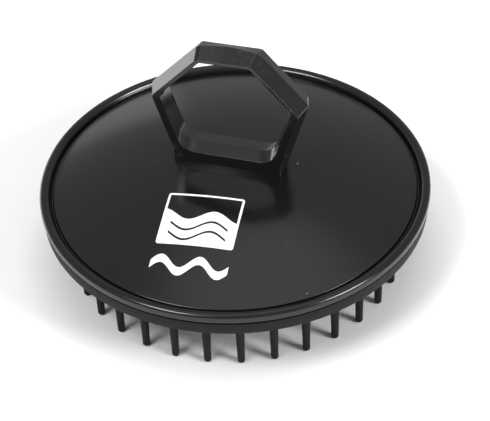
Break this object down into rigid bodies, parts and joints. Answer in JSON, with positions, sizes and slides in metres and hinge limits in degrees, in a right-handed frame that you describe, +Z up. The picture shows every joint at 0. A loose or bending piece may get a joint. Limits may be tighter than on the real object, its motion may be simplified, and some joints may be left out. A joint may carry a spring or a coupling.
{
  "type": "round grooming brush",
  "caption": "Round palm brush with a domed glossy cover, an upright hexagonal finger loop and rings of round-tipped moulded tines.",
  "frame": {"origin": "on the surface that the outer ring of tine tips stands on, straight under the disc's centre", "axes": "+Z up along the disc's axis; +X along the finger loop, to the right when the print is nearest; +Y away from the print"},
  "size_m": [0.089, 0.089, 0.0568],
  "materials": {
    "cover_gloss": "polished black moulded plastic",
    "handle_satin": "semi-gloss black moulded plastic",
    "tine_matte": "matte black flexible moulded plastic",
    "print_ink": "thin white pad-printed ink"
  },
  "bodies": {
    "root": {"cover": "cover_gloss", "handle": "handle_satin", "tine_plate": "tine_matte", "print_panel": "print_ink", "print_stripe": "print_ink"}
  },
  "joints": []
}
